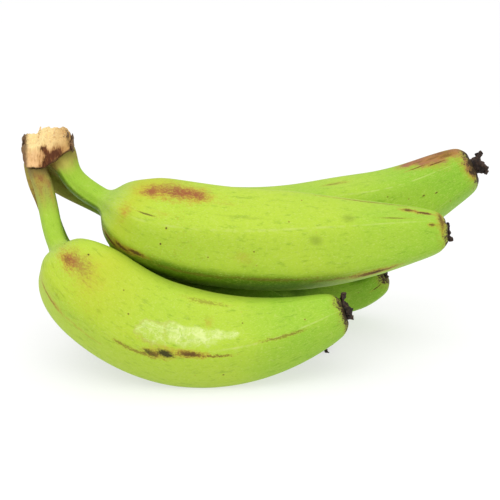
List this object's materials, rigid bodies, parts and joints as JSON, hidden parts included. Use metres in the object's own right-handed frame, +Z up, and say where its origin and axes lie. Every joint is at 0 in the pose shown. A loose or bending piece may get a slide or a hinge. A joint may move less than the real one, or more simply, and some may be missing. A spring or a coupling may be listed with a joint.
{
  "type": "plantain hand",
  "caption": "Cut hand of green plantains on a short pale crown, lying on its lower fingers, with dried black flower ends.",
  "frame": {"origin": "under the middle of the whole hand, on the surface that it rests on", "axes": "+X from the crown to the fingertips, +Y from the front finger to the back, +Z up; a viewer who faces the hand's front looks along +Y"},
  "size_m": [0.2574, 0.1598, 0.1239],
  "materials": {
    "peel": "satin",
    "crown": "matt",
    "dried": "matt"
  },
  "bodies": {
    "root": {"crown": "crown", "finger_upper_front": "peel", "finger_lower_front": "peel", "finger_upper_back": "peel", "finger_lower_middle": "peel", "finger_lower_back": "peel", "dried_end_upper_front": "dried", "dried_end_lower_front": "dried", "dried_end_upper_back": "dried", "dried_end_lower_middle": "dried", "dried_end_lower_back": "dried"}
  },
  "joints": []
}
